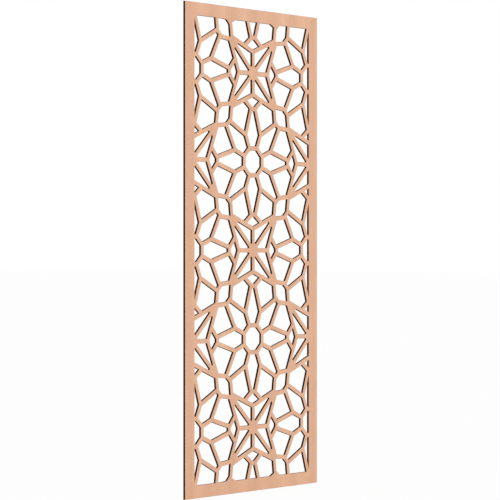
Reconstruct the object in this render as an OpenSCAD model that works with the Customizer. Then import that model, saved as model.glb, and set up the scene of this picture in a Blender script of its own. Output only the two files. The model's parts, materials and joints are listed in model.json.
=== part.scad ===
// Fretwork wood panel: one sheet of five-ply hardwood plywood, cut right through into a
// flush border and a lattice of eight-petal rosettes and four-armed stars.
// Millimetres. X runs across, Y from front to back and Z up. The front faces -Y.
// The origin is the middle of the back face.

/* [Panel] */
// Width of the whole panel
panel_w = 492; // [470:1:510]
// Height of the whole panel
panel_h = 1189; // [1165:1:1210]
// Width of the border down each side
stile_w = 34; // [26:1:42]
// Width of the border along the top and along the bottom
rail_w = 31; // [25:1:38]

/* [Plies] */
// Thickness of each face veneer
face_t = 0.5; // [0.3:0.1:0.8]
// Thickness of each crossband
crossband_t = 1.3; // [0.8:0.1:1.6]
// Thickness of the core ply
core_t = 1.6; // [0.8:0.1:2]

/* [Lattice] */
// Width of every bar of the lattice
bar_w = 11; // [9:0.5:12.5]
// Distance from the middle of a rosette to the middle of the next star
pitch = 218.5; // [214:0.1:222]

/* [Rosette] */
// From the middle of a rosette to the middle of a bar of its hub ring
ring_r = 33.2; // [28:0.1:38]
// From the middle of a rosette to the forks where its eight rays split
fork_r = 71.8; // [66:0.1:76]
// From the middle of a rosette to the bars that end its eight petals
petal_r = 130.4; // [127:0.1:131]
// Half the length of the bar that ends a slanted petal
slanted_bar_half = 7.9; // [7:0.1:9]
// From the middle of a rosette to the elbows, where a straight petal's sides meet the braces
elbow_r = 132; // [131:0.1:134]
// Half the distance between the two elbows of a straight petal
elbow_half = 7.3; // [6.5:0.1:9]

/* [Star] */
// From the middle of a star to the blunt inner ends of its holes
star_hub_r = 17.9; // [15.5:0.1:22]
// From the middle of a star to its notches
notch_r = 53; // [48:0.1:57]
// From the middle of a star to the tips of its arms
arm_r = 126.6; // [122:0.1:130]
// From the middle of a star to the blunt outer ends of its holes
star_hole_reach = 89.8; // [84:0.1:96]
// Height above the notch at which a brace meets the side of a star
brace_h = 32.4; // [28:0.1:36]

/* [Leaf] */
// From the middle of a leaf to the middle of each of its long bars
leaf_r = 24.8; // [22:0.1:28]
// Slant of the long bars of a leaf, in degrees
leaf_slant = 6.6; // [3:0.1:10]
// How far a leaf lies towards the star on the panel's middle line
leaf_lean = 4.2; // [0:0.1:6]

/* [Hidden] */

veneer_colour = [0.87, 0.71, 0.59];
crossband_colour = [0.72, 0.55, 0.42];
core_colour = [0.80, 0.64, 0.50];

// Back face of each ply, counted forwards from the back of the sheet
rear_crossband_y = -face_t;
core_y = rear_crossband_y - crossband_t;
front_crossband_y = core_y - core_t;
front_veneer_y = front_crossband_y - crossband_t;

// The opening inside the border, as half sizes and as a rectangle
open_x = panel_w / 2 - stile_w;
open_z = panel_h / 2 - rail_w;
opening = [[-open_x, -open_z], [open_x, -open_z], [open_x, open_z], [-open_x, open_z]];

// A hole that the border leaves smaller than this, in square millimetres, isn't cut
least_hole = 25;

// Rosettes and stars stand on a square grid, turn about, with a star in the middle of the panel
columns = ceil(open_x / pitch);
rows = ceil(open_z / pitch);

// Corners of the middle lines of the bars, in one eighth of a rosette. The rosette is at the
// origin here, one star is at [pitch, 0] and another at [0, pitch].
ray = 22.5;
ring_corner = polar(ring_r / cos(ray), ray);
fork = polar(fork_r, ray);
slanted_end = [petal_r + slanted_bar_half, petal_r - slanted_bar_half] * sqrt(1 / 2);
elbow = [elbow_r, elbow_half];
star = [pitch, 0];
notch = [pitch - notch_r, 0];
arm_tip = star + polar(arm_r, 135);
brace_end = notch + (arm_tip - notch) * brace_h / arm_tip.y;

// The bar that ends a straight petal crosses between the elbows, a little nearer the rosette
straight_end = meet(fork, elbow, [petal_r, 0], [petal_r, 1]);
brace_start = meet(elbow, brace_end, [petal_r, 0], [petal_r, 1]);

// The blunt inner end of a star's hole is square to its bisector, half a bar past this line
hub_start = star + polar((star_hub_r - bar_w / 2) / cos(ray), 180);
hub_end = star + polar((star_hub_r - bar_w / 2) / cos(ray), 135);

// The blunt outer end of a star's hole is square to the arm, half a bar short of this line
blunt_start = star + polar(star_hole_reach + bar_w / 2, 135);
blunt_end = meet(blunt_start, blunt_start + [1, 1], notch, arm_tip);

// Plane geometry
function polar(r, angle) = r * [cos(angle), sin(angle)];
function swapped(p) = [p.y, p.x];
function lowered(p) = [p.x, -p.y];
function cross2(a, b) = a.x * b.y - a.y * b.x;
function middle(loop) = [for (p = loop) 1] * loop / len(loop);
function meet(a, b, c, d) = a + (b - a) * cross2(c - a, d - c) / cross2(b - a, d - c);
function loop_area(loop) =
    abs([for (i = [0 : len(loop) - 1]) 1] *
        [for (i = [0 : len(loop) - 1]) cross2(loop[i], loop[(i + 1) % len(loop)])]) / 2;

// Keeps what lies at least the given distance from the line through a and b, on the side of c
function keep(shape, a, b, c, distance) =
    let (along = (b - a) / norm(b - a),
         across = [-along.y, along.x],
         inward = (c - a) * across < 0 ? -across : across,
         rise = [for (p = shape) (p - a) * inward - distance])
    [for (i = [0 : len(shape) - 1])
        let (k = (i + 1) % len(shape))
        each concat(rise[i] >= 0 ? [shape[i]] : [],
                    (rise[i] >= 0) != (rise[k] >= 0)
                        ? [shape[i] + (shape[k] - shape[i]) * rise[i] / (rise[i] - rise[k])]
                        : [])];

// The part of a shape that lies half a bar inside every side of a loop of middle lines
function inside(shape, loop, side = 0) =
    side == len(loop) || len(shape) < 3
        ? shape
        : inside(keep(shape, loop[side], loop[(side + 1) % len(loop)], middle(loop), bar_w / 2),
                 loop, side + 1);

// A leaf lies between two rosettes. Its lean is 1 towards the star at [pitch, 0] and -1 away.
function leaf_middle(lean) = [pitch, pitch] / 2 + lean * leaf_lean * [1, -1] * sqrt(1 / 2);
function leaf_side(lean, angle) =
    let (foot = leaf_middle(lean) + polar(leaf_r, angle))
    [foot, foot + polar(leaf_r, angle + 90)];
function leaf_under(lean) = leaf_side(lean, -90 - leaf_slant);
function leaf_left(lean) = leaf_side(lean, 180 + leaf_slant);

// Loops of middle lines, one for each kind of hole
hub_loop = [for (i = [0 : 7]) polar(ring_r / cos(ray), ray + 45 * i)];
straight_petal_loop = [ring_corner, fork, straight_end,
                       lowered(straight_end), lowered(fork), lowered(ring_corner)];
slanted_petal_loop = [ring_corner, fork, slanted_end,
                      swapped(slanted_end), swapped(fork), swapped(ring_corner)];
gusset_loop = [brace_start, brace_end, notch, lowered(brace_end), lowered(brace_start)];
star_loop = [notch, hub_start, hub_end, blunt_start, blunt_end];
function kite_loop(lean) =
    let (under = leaf_under(lean))
    [fork, elbow, brace_end,
     meet(notch, arm_tip, under[0], under[1]),
     meet(fork, slanted_end, under[0], under[1])];
function leaf_loop(lean) =
    let (under = leaf_under(lean),
         left = leaf_left(lean),
         centre = leaf_middle(lean),
         near = [slanted_end, swapped(slanted_end)],
         far = [[pitch, pitch] - near[0], [pitch, pitch] - near[1]],
         over = [2 * centre - under[0], 2 * centre - under[1]],
         right = [2 * centre - left[0], 2 * centre - left[1]])
    [meet(near[0], near[1], under[0], under[1]), meet(under[0], under[1], right[0], right[1]),
     meet(right[0], right[1], far[0], far[1]), meet(far[0], far[1], over[0], over[1]),
     meet(over[0], over[1], left[0], left[1]), meet(left[0], left[1], near[0], near[1])];

// Places a loop at the rosette in column i and row j, turned about the diagonal or not
function placed(loop, i, j, side, turned) =
    [for (p = loop)
        let (q = turned ? swapped(p) : p)
        [i * pitch + side.x * q.x, j * pitch + side.y * q.y]];

// A leaf leans towards the star whose column is nearer to the middle of the panel
function lean_of(i, side) = abs(i) < abs(i + side.x) ? -1 : 1;

function rosette_loops(i, j) = concat(
    [placed(hub_loop, i, j, [1, 1], false)],
    [for (sign = [1, -1], turned = [false, true], loop = [straight_petal_loop, gusset_loop])
        placed(loop, i, j, [sign, sign], turned)],
    [for (x = [1, -1], z = [1, -1]) placed(slanted_petal_loop, i, j, [x, z], false)],
    [for (x = [1, -1], z = [1, -1], turned = [false, true])
        each let (lean = lean_of(i, [x, z]) * (turned ? -1 : 1))
            [placed(star_loop, i, j, [x, z], turned),
             placed(kite_loop(lean), i, j, [x, z], turned)]],
    [for (z = [1, -1]) placed(leaf_loop(lean_of(i, [1, z])), i, j, [1, z], false)]);

fret_holes =
    [for (i = [-columns : columns], j = [-rows : rows])
        if ((i + j) % 2 != 0)
            for (loop = rosette_loops(i, j))
                let (hole = inside(opening, loop))
                if (len(hole) > 2 && loop_area(hole) > least_hole) hole];

// Outline of the sheet with its fretwork, drawn flat
module fretwork() {
    difference() {
        square([panel_w, panel_h], center = true);
        for (hole = fret_holes) polygon(hole);
    }
}

// One ply with its back face at y
module ply(y, thickness) {
    translate([0, y, 0])
        rotate([90, 0, 0])
            linear_extrude(thickness) fretwork();
}

module front_face_veneer() {
    color(veneer_colour) ply(front_veneer_y, face_t);
}

module front_crossband() {
    color(crossband_colour) ply(front_crossband_y, crossband_t);
}

module core_ply() {
    color(core_colour) ply(core_y, core_t);
}

module rear_crossband() {
    color(crossband_colour) ply(rear_crossband_y, crossband_t);
}

module back_face_veneer() {
    color(veneer_colour) ply(0, face_t);
}

front_face_veneer();
front_crossband();
core_ply();
rear_crossband();
back_face_veneer();
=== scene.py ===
# %% [markdown]
# # A fretwork panel, veneered and laser cut
#
# The real object is one flat sheet of veneered plywood. A laser has cut right through it, so
# that a border and a lattice of rosettes and stars are left. Its faces are bare sanded wood
# with the grain upright, and every wall that the laser cut is charred a dark brown.
#
# The construction file already holds the five plies at their real size. This lesson dresses
# them: it burns back and scorches the edges of the two face veneers, gives each ply its finish,
# and sets up the camera, the floor and the lights.

# %% Load the frame
import json
import math

import bpy
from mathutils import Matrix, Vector

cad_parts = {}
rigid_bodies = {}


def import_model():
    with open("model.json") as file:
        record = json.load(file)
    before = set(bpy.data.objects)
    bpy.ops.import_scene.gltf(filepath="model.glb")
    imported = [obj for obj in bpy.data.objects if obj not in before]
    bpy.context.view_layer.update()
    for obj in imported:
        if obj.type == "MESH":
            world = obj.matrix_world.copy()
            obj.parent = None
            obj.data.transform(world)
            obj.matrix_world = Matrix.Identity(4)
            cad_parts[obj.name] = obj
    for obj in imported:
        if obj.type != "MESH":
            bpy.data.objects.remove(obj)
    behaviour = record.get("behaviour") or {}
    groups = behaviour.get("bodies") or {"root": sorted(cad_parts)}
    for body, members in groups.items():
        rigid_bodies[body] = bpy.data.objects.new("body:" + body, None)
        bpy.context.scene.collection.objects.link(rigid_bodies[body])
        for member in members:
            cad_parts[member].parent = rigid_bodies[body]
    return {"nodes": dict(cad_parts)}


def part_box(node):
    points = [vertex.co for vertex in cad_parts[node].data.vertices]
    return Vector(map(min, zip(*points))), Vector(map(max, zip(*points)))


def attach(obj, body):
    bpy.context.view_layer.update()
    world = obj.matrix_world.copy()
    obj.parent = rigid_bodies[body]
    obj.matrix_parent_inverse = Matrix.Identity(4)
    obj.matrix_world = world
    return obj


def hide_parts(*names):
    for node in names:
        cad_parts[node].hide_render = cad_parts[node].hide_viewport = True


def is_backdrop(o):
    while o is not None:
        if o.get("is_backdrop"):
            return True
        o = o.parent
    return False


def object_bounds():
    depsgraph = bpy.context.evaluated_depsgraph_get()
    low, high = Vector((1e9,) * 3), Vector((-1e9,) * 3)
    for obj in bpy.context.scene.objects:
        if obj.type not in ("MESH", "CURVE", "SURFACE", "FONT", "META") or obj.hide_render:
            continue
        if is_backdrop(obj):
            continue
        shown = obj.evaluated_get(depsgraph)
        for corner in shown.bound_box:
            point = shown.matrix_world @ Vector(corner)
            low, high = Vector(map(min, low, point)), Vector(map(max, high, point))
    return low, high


for left_over in list(bpy.data.objects):
    bpy.data.objects.remove(left_over)
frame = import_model()
cad_low, cad_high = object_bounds()
bpy.ops.object.select_all(action="DESELECT")
print("plies:", ", ".join(sorted(frame["nodes"])))

# %% [markdown]
# ## Units
#
# Blender measures in metres, but a maker thinks of a sheet in millimetres. One small value
# turns one into the other. Colours are easier to pick as the eye sees them on a screen, from 0
# to 255, while shaders work on amounts of light, so a short function turns one into the other.

# %% Millimetres and screen colours
MM = 0.001


def tone(red, green, blue):
    """A screen colour, from 0 to 255 each, as the amounts of light that a shader takes."""
    shares = [value / 255 for value in (red, green, blue)]
    light = [s / 12.92 if s <= 0.04045 else ((s + 0.055) / 1.055) ** 2.4 for s in shares]
    return (*light, 1.0)


size = cad_high - cad_low
print("sheet:", [round(side / MM, 1) for side in size], "mm")

# %% [markdown]
# ## The camera
#
# The panel stands upright and turned well away from the viewer, who looks at it from the left,
# level with its middle and from far off, through a long lens. The place is measured from the
# middle of the front face. A long lens far away flattens the view, and moving the camera
# nearer with a shorter lens would make the left edge much taller than the right one.

# %% Set up the camera
camera_offset = Vector((-3779.3, -3346.1, 0.73)) * MM
camera_turn = math.radians(48.386)
focal_length = 147.11
sensor_width = 36.0

face_middle = Vector((0, cad_low.y, (cad_low.z + cad_high.z) / 2))
bpy.ops.object.camera_add(
    location=face_middle + camera_offset, rotation=(math.radians(90), 0, -camera_turn)
)
camera = bpy.context.object
camera.data.lens = focal_length
camera.data.sensor_width = sensor_width
bpy.context.scene.camera = camera
print("camera stands", round(camera_offset.length, 2), "m from the panel")

# %% [markdown]
# ## Writing shaders as sums
#
# A wood finish is mostly arithmetic: a little of this pattern, less of that one. Wiring Math
# nodes by hand hides the sum, so one small class wraps a node's output and lets Python's own
# signs add the Math nodes. A second class holds a material and adds every other kind of node.

# %% Wires and finishes
class Wire:
    """One output in a node tree. A sum or product of wires adds a Math node."""

    def __init__(self, finish, socket):
        self.finish = finish
        self.socket = socket

    def out(self, name):
        """Another output of the same node."""
        return Wire(self.finish, self.socket.node.outputs[name])

    def maths(self, operation, first, second=0.0):
        return self.finish.node("Math", {"operation": operation}, {0: first, 1: second})

    def __add__(self, other):
        return self.maths("ADD", self, other)

    def __sub__(self, other):
        return self.maths("SUBTRACT", self, other)

    def __rsub__(self, other):
        return self.maths("SUBTRACT", other, self)

    def __mul__(self, other):
        return self.maths("MULTIPLY", self, other)

    def __pow__(self, other):
        return self.maths("POWER", self, other)

    __radd__ = __add__
    __rmul__ = __mul__


class Finish:
    """A node tree that is filled through one method."""

    def __init__(self, tree):
        self.tree = tree

    def node(self, kind, settings=None, sockets=None):
        """Adds a node, sets what it is, and then gives its sockets their values or links."""
        made = self.tree.nodes.new("ShaderNode" + kind)
        for name, value in (settings or {}).items():
            if name == "stops":
                set_stops(made.color_ramp, value)
            else:
                setattr(made, name, value)
        self.feed(made, sockets or {})
        live = [socket for socket in made.outputs if socket.enabled]
        return Wire(self, live[0])

    def feed(self, node, sockets):
        """Gives a node's sockets, by name or number, their values or links."""
        for key, value in sockets.items():
            named = [s for s in node.inputs if s.enabled and s.name == key]
            socket = node.inputs[key] if isinstance(key, int) else named[0]
            if isinstance(value, Wire):
                self.tree.links.new(value.socket, socket)
            else:
                socket.default_value = value


def set_stops(ramp, stops):
    """Sets a ramp's places and colours. A new ramp already has two stops."""
    while len(ramp.elements) < len(stops):
        ramp.elements.new(0.5)
    for element, (place, colour) in zip(ramp.elements, stops):
        element.position = place
        element.color = colour


print("helpers are ready")

# %% [markdown]
# ## Patterns of wood
#
# Everything that grows in a tree is long and narrow, so one helper makes all the patterns that
# the finishes need: a soft noise, so many millimetres wide and so many long. It reads Object
# coordinates, which keeps each pattern fixed in the wood when the panel moves.

# %% A stretched noise, and a step that is soft at both ends
def place_in(finish):
    """Where a point lies on the panel, in metres."""
    return finish.node("TexCoord").out("Object")


def noise(finish, place, across, along, through=1.0, detail=2.0, seed=0.0):
    """A noise from 0 to 1 whose spots are that many millimetres across, along and through."""
    spots = [1 / (length * MM) for length in (across, through, along)]
    moved = finish.node(
        "Mapping", {}, {"Vector": place, "Scale": spots, "Location": (seed, seed / 2, seed / 3)}
    )
    return finish.node("TexNoise", {}, {"Vector": moved, "Scale": 1.0, "Detail": detail})


def step(finish, value, low, high):
    """Rises softly from 0 at low to 1 at high."""
    return finish.node(
        "MapRange",
        {"interpolation_type": "SMOOTHSTEP"},
        {"Value": value, "From Min": low, "From Max": high},
    )


def mixed(finish, share, under, over):
    """A colour that goes from under to over as share goes from 0 to 1."""
    return finish.node(
        "Mix", {"data_type": "RGBA"}, {"Factor": share, "A": under, "B": over}
    )


print("patterns are ready")

# %% [markdown]
# ## The face veneer
#
# The veneer is a pale pinkish wood, sliced so that faint light and dark ribbons run up the
# whole panel, across the rails as well. Over the ribbons lie cloudy patches, fine fibres, and
# short dark flecks that are only seen from near by. A photograph of wood wrapped over the
# panel would show its own lights and shadows, so the pattern is built up from noises.
#
# Close to each cut, heat has tanned the face. The modelling below leaves a value named scorch
# on the mesh. It is highest at cuts that face left, and fades to 0 across the margin beside
# them. The finish darkens with it.

# %% Make the veneer finish
ribbon_pitch = 76.0
ribbon_sway = 14.0
wood_tones = [(0.0, tone(207, 159, 127)), (0.5, tone(221, 174, 141)), (1.0, tone(233, 187, 153))]
blush_tone = tone(219, 168, 141)
blush_share = 0.4
fleck_tone = tone(176, 124, 92)
fleck_share = 0.45
scorch_tone = tone(62, 34, 17)
scorch_falloff = 2.4


def veneer_finish(name, seed, tan):
    """Sliced veneer. Seed moves the pattern, and tan says how strongly the cuts are scorched."""
    material = bpy.data.materials.new(name)
    material.use_nodes = True
    finish = Finish(material.node_tree)
    place = place_in(finish)

    drift = noise(finish, place, 90, 500, detail=1.0, seed=seed) - 0.5
    sideways = finish.node("CombineXYZ", {}, {"X": drift * (ribbon_sway * MM)})
    grown = finish.node("VectorMath", {"operation": "ADD"}, {0: place, 1: sideways})

    x = finish.node("SeparateXYZ", {}, {"Vector": grown}).out("X")
    turns = x * (2 * math.pi / (ribbon_pitch * MM))
    ribbon = finish.node("Math", {"operation": "COSINE"}, {0: turns})
    streak = noise(finish, grown, 7, 900, detail=3.0, seed=seed + 1) - 0.5
    cloud = noise(finish, grown, 30, 58, detail=2.0, seed=seed + 2) - 0.5
    fibre = noise(finish, grown, 0.9, 60, detail=4.0, seed=seed + 3) - 0.5
    fleck = noise(finish, grown, 0.5, 5, detail=1.0, seed=seed + 4)

    figure = 0.5 - 0.18 * ribbon + 0.5 * streak + 0.5 * cloud + 0.75 * fibre
    wood = finish.node("ValToRGB", {"stops": wood_tones}, {"Fac": figure})
    blush = step(finish, noise(finish, grown, 60, 110, detail=1.0, seed=seed + 6), 0.35, 0.65)
    warmed = mixed(finish, blush * blush_share, wood, blush_tone)
    flecks = step(finish, fleck, 0.62, 0.74)
    marked = mixed(finish, flecks * fleck_share, warmed, fleck_tone)

    heat = finish.node("Attribute", {"attribute_name": "scorch"}).out("Fac")
    uneven = noise(finish, place, 6, 6, detail=3.0, seed=seed + 5) + 0.5
    scorched = mixed(finish, heat ** scorch_falloff * uneven * tan, marked, scorch_tone)

    height = fibre * 0.6 - flecks * 0.5
    bump = finish.node("Bump", {}, {"Height": height, "Distance": 0.03 * MM, "Strength": 1.0})
    shader = material.node_tree.nodes["Principled BSDF"]
    finish.feed(shader, {
        "Base Color": scorched,
        "Roughness": 0.58 - fibre * 0.15,
        "Normal": bump,
    })
    return material


front_finish = veneer_finish("sliced veneer, front", seed=0.0, tan=1.6)
back_finish = veneer_finish("sliced veneer, back", seed=40.0, tan=1.7)
print("made", front_finish.name, "and", back_finish.name)

# %% [markdown]
# ## The charred walls
#
# A laser burns its way through the sheet and leaves each wall dark brown, with fine streaks
# from face to face where the beam moved on. Each ply is a piece of its own, so each gets its
# own char. The face veneers and the crossbands are nearly black, the core is taken to stay a
# little browner, and the glue between them is a thin black line.

# %% Make the char finish
glue_line = 0.12
glue_tone = tone(22, 13, 9)
glue_share = 0.7
black_char = (tone(26, 7, 2), tone(50, 20, 8))
brown_char = (tone(34, 12, 4), tone(66, 32, 13))


def char_finish(name, low_y, high_y, dark, light, seed):
    """Burnt wood between the planes low_y and high_y, where the glue lines are."""
    material = bpy.data.materials.new(name)
    material.use_nodes = True
    finish = Finish(material.node_tree)
    place = place_in(finish)

    beam = noise(finish, place, 0.5, 0.5, through=8, detail=2.0, seed=seed)
    patch = noise(finish, place, 14, 14, through=6, detail=2.0, seed=seed + 1)
    shade = 0.5 + (beam - 0.5) * 1.4 + (patch - 0.5) * 1.2
    burnt = mixed(finish, shade, dark, light)

    y = finish.node("SeparateXYZ", {}, {"Vector": place}).out("Y")
    near_low = step(finish, y, low_y + glue_line * MM, low_y)
    near_high = step(finish, y, high_y - glue_line * MM, high_y)
    glued = mixed(finish, (near_low + near_high) * glue_share, burnt, glue_tone)

    bump = finish.node("Bump", {}, {"Height": beam, "Distance": 0.05 * MM, "Strength": 1.0})
    shader = material.node_tree.nodes["Principled BSDF"]
    finish.feed(shader, {
        "Base Color": glued,
        "Roughness": 0.75 + patch * 0.2,
        "Specular IOR Level": 0.05,
        "Normal": bump,
    })
    return material


print("the char finish is ready")

# %% [markdown]
# ## Dressing the face veneers
#
# The laser's cuts are crisp, but its heat eats a hair's breadth off every arris and chars it,
# and it tans a narrow margin of the face beside each cut. Both are darkest where the wall below
# faces left, and fade out where it faces right. Both follow the
# whole cut outline, so both are made on a copy of the veneer: the edge between the face and the
# walls is bevelled, and the face is inset from it. The margin's outer rim then carries the
# scorch.
#
# Where a hole ends in a sharp tip, the inset's two sides meet far past it, as a mitre does. The
# heat doesn't reach so far, so those ends are bevelled back to as far as the margin is wide.
#
# The inset moves points across the old triangles of the face, and some would fold over. So the
# old triangles are deleted, and the face is filled again between the inset loops.

# %% Select points, edges or faces by where they are
arris = 0.3
margin = 2.0


def open_for_editing(piece):
    bpy.ops.object.select_all(action="DESELECT")
    piece.select_set(True)
    bpy.context.view_layer.objects.active = piece
    bpy.ops.object.mode_set(mode="EDIT")


def select_only(piece, kind, test):
    """Leaves just the vertices, edges or polygons that pass a test selected, in edit mode."""
    bpy.ops.object.mode_set(mode="OBJECT")
    kinds = ("vertices", "edges", "polygons")
    for each_kind in kinds:
        parts = getattr(piece.data, each_kind)
        parts.foreach_set("select", [False] * len(parts))
    for part in getattr(piece.data, kind):
        part.select = test(part)
    bpy.context.tool_settings.mesh_select_mode = [each_kind == kind for each_kind in kinds]
    bpy.ops.object.mode_set(mode="EDIT")


print("an arris of", arris, "mm and a margin of", margin, "mm")

# %% Burn the rims of the cuts
def lies_flat(face):
    return abs(face.normal.y) > 0.99


def is_wall(face):
    return abs(face.normal.y) < 0.1


def burn_at(face):
    """How strongly a wall or arris is burnt: most where it faces left."""
    leftwards = -Vector((face.normal.x, face.normal.z)).normalized().x
    return 0.5 + 0.5 * leftwards


def burnt_points(mesh):
    """The points of all walls and arrises. The margin's inner points aren't among them."""
    return {point for face in mesh.polygons if not lies_flat(face) for point in face.vertices}


def scorch_rims(mesh):
    """Writes how burnt each face is at its corners: as its rim is, and 0 past the margin."""
    burnt = burnt_points(mesh)
    standing = [face for face in mesh.polygons if not lies_flat(face)]
    rims = {key: burn_at(face) for face in standing for key in face.edge_keys}
    burns = []
    for face in mesh.polygons:
        near_rims = [rims[key] for key in face.edge_keys if key in rims]
        burn = max(near_rims, default=0.0) if lies_flat(face) else burn_at(face)
        burns += [burn if point in burnt else 0.0 for point in face.vertices]
    mesh.attributes.new("scorch", "FLOAT", "CORNER").data.foreach_set("value", burns)


print("a wall that faces left burns most")

# %% Bevel the margin's ends past sharp tips
longest_mitre = 3 * margin


def blunt_margin_ends(piece):
    """Cuts each long mitre of the margin back to the margin's width, square to the tip."""
    bpy.ops.object.mode_set(mode="OBJECT")
    mesh = piece.data
    burnt = burnt_points(mesh)
    mitres = {}
    for edge in mesh.edges:
        near, far = sorted(edge.vertices, key=lambda point: point not in burnt)
        length = (mesh.vertices[far].co - mesh.vertices[near].co).length
        if near in burnt and far not in burnt and length > longest_mitre * MM:
            mitres[far] = length
    select_only(piece, "vertices", lambda point: point.index in mitres)
    spare = min(mitres.values(), default=margin * MM) - margin * MM
    bpy.ops.mesh.bevel(offset=spare, affect="VERTICES")


print("mitres over", longest_mitre, "mm are cut back to", margin, "mm")

# %% Bevel the rims, and inset and refill the face
merge_distance = 0.001


def bevel_rims(piece, on_face):
    """Bevels the edges between the face and the walls."""
    select_only(piece, "polygons", is_wall)
    bpy.ops.mesh.region_to_loop()
    bpy.ops.object.mode_set(mode="OBJECT")
    loops = [edge for edge in piece.data.edges if edge.select]
    rims = {edge.index for edge in loops if on_face(edge.vertices[0])}
    select_only(piece, "edges", lambda edge: edge.index in rims)
    bpy.ops.mesh.bevel(offset=arris * MM, segments=2, profile=0.5, affect="EDGES")


def inset_margin(piece, on_face):
    """Insets the face from its rims, and deletes what lies inside the margin."""
    select_only(piece, "polygons", lambda face: all(on_face(point) for point in face.vertices))
    bpy.ops.mesh.inset(thickness=margin * MM, use_boundary=True, use_even_offset=True)
    bpy.ops.mesh.delete(type="FACE")


def refill_face():
    """Fills the face again between the open loops, and turns every face outwards."""
    # leaving edit mode and coming back makes each run store the new faces in the same order
    bpy.ops.object.mode_set(mode="OBJECT")
    bpy.ops.object.mode_set(mode="EDIT")
    bpy.ops.mesh.select_mode(type="EDGE")
    bpy.ops.mesh.select_non_manifold(
        extend=False,
        use_wire=False,
        use_multi_face=False,
        use_non_contiguous=False,
        use_verts=False,
    )
    bpy.ops.mesh.fill(use_beauty=True)
    bpy.ops.mesh.select_all(action="SELECT")
    bpy.ops.mesh.normals_make_consistent(inside=False)


print("points nearer than", merge_distance, "mm are merged")

# %% Dress one veneer and paint it
charred_from = 0.6


def dress_veneer(node_name, piece_name, face_y):
    """A copy of a face veneer with burnt arrises and a scorched margin round every cut."""
    piece = bpy.data.objects.new(piece_name, frame["nodes"][node_name].data.copy())
    bpy.context.scene.collection.objects.link(piece)
    mesh = piece.data

    def on_face(point):
        return abs(mesh.vertices[point].co.y - face_y) < merge_distance * MM

    open_for_editing(piece)
    bpy.ops.mesh.select_all(action="SELECT")
    bpy.ops.mesh.remove_doubles(threshold=merge_distance * MM)
    bevel_rims(piece, on_face)
    inset_margin(piece, on_face)
    blunt_margin_ends(piece)
    refill_face()
    bpy.ops.object.mode_set(mode="OBJECT")
    scorch_rims(mesh)
    select_only(piece, "polygons", lambda face: len(face.vertices) > 4)
    bpy.ops.mesh.quads_convert_to_tris(ngon_method="BEAUTY")
    bpy.ops.object.mode_set(mode="OBJECT")
    return piece


def paint_veneer(piece, face_finish, wall_finish):
    """The veneer finish on the face, and char on the walls and on the arrises that face left."""
    piece.data.materials.clear()
    piece.data.materials.append(face_finish)
    piece.data.materials.append(wall_finish)
    for face in piece.data.polygons:
        is_charred_arris = not lies_flat(face) and burn_at(face) > charred_from
        face.material_index = 1 if is_wall(face) or is_charred_arris else 0


print("ready to dress the veneers")

# %% Dress the front and the back
veneers = {
    "front_face_veneer": ("dressed_front_veneer", front_finish, min),
    "back_face_veneer": ("dressed_back_veneer", back_finish, max),
}
for number, (node_name, (piece_name, face_finish, outer)) in enumerate(veneers.items()):
    low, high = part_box(node_name)
    piece = dress_veneer(node_name, piece_name, face_y=outer(low.y, high.y))
    wall = char_finish(node_name + " char", low.y, high.y, *black_char, seed=10.0 + number)
    paint_veneer(piece, face_finish, wall)
    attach(piece, "root")
    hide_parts(node_name)
    print(piece.name, len(piece.data.polygons), "faces")

# %% [markdown]
# ## The plies between
#
# Only the cut edges of the three inner plies show, so they keep their meshes and change only
# their finish. The core stays a little browner than its neighbours, which is what makes the
# layers of the sheet readable from near by.

# %% Finish the crossbands and the core
plies = {"front_crossband": black_char, "core_ply": brown_char, "rear_crossband": black_char}
for number, (node_name, char) in enumerate(plies.items()):
    low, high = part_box(node_name)
    burnt = char_finish(node_name + " char", low.y, high.y, *char, seed=20.0 + number)
    frame["nodes"][node_name].data.materials.clear()
    frame["nodes"][node_name].data.materials.append(burnt)
    print(node_name, "gets", burnt.name)

# %% [markdown]
# ## The floor and the white ground
#
# The panel stands on a plain pale floor that runs to the horizon, in front of an empty white
# world. To the camera the floor is mostly plain white, with a share of real shading mixed in,
# so that the soft shadow of the panel stays. Mirrors and glass would see the same white. That
# white is only for show, so the floor isn't sampled as a lamp. If it were, the faint sheen that
# it gives the panel would fade towards the foot.

# %% Lay the floor
floor_white_share = 0.95
floor_size = 80.0

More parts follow.
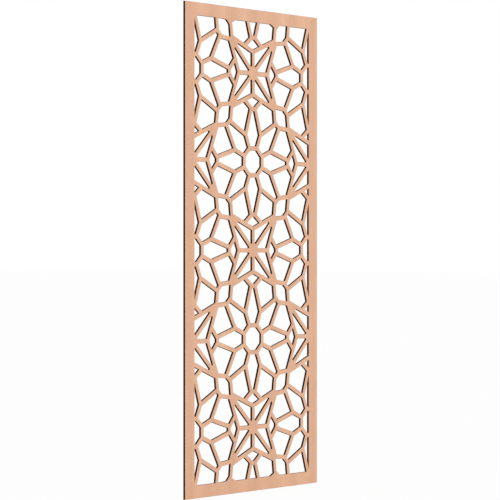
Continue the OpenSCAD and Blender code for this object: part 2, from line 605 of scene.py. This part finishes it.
bpy.ops.mesh.primitive_plane_add(size=floor_size, location=(0, 0, cad_low.z))
floor = bpy.context.object
floor.name = "floor"
floor_material = bpy.data.materials.new("pale floor")
floor_material.use_nodes = True
floor_material.cycles.emission_sampling = "NONE"
stage = Finish(floor_material.node_tree)
rays = stage.node("LightPath")
seen = stage.node("Math", {"operation": "MAXIMUM"}, {
    0: rays.out("Is Camera Ray"),
    1: rays.out("Is Glossy Ray") + rays.out("Is Transmission Ray"),
})
plain = stage.node("Emission", {}, {"Color": (1, 1, 1, 1), "Strength": 1.0})
shaded = stage.node("BsdfDiffuse", {}, {"Color": (0.9, 0.9, 0.9, 1)})
both = stage.node("MixShader", {}, {0: seen * floor_white_share, 1: shaded, 2: plain})
stage.feed(floor_material.node_tree.nodes["Material Output"], {"Surface": both})
floor.data.materials.append(floor_material)
floor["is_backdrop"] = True
print("floor lies at", round(cad_low.z / MM, 1), "mm")

# %% [markdown]
# ## Light
#
# A plain even light shows the wood's own colour. Two broad soft lamps, one in front and one
# behind, give most of it, and the white sky and the pale floor fill in from all round. Small
# hard lamps would throw the lattice's shadow across the floor, which the real studio light
# doesn't.

# %% Light the panel
sky_level = 0.32

world = bpy.data.worlds.new("white studio")
bpy.context.scene.world = world
world.use_nodes = True
sky = Finish(world.node_tree)
sky_rays = sky.node("LightPath")
sky_seen = sky.node("Math", {"operation": "MAXIMUM"}, {
    0: sky_rays.out("Is Camera Ray"),
    1: sky_rays.out("Is Glossy Ray") + sky_rays.out("Is Transmission Ray"),
})
strength = sky_level + sky_seen * (1 - sky_level)
background = world.node_tree.nodes["Background"]
sky.feed(background, {"Color": (1, 1, 1, 1), "Strength": strength})


def soft_sun(name, strength, spread, towards):
    """A broad distant lamp that shines in the direction towards."""
    bpy.ops.object.light_add(type="SUN")
    lamp = bpy.context.object
    lamp.name = name
    lamp.data.energy = strength
    lamp.data.angle = math.radians(spread)
    lamp.rotation_euler = Vector(towards).to_track_quat("-Z", "Y").to_euler()


soft_sun("front lamp", strength=2.09, spread=60, towards=(0.35, 1.0, -0.4))
soft_sun("back lamp", strength=2.0, spread=60, towards=(-0.35, -1.0, -0.4))
scene = bpy.context.scene
scene.view_settings.view_transform = "Standard"
print("sky at", sky_level, "and two soft lamps")

# %% [markdown]
# ## The size of the dressed panel
#
# Dressing a piece must not make it bigger, so the box of the dressed panel is measured again,
# as the box of the plies was at the start.

# %% Measure the dressed panel
low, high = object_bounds()
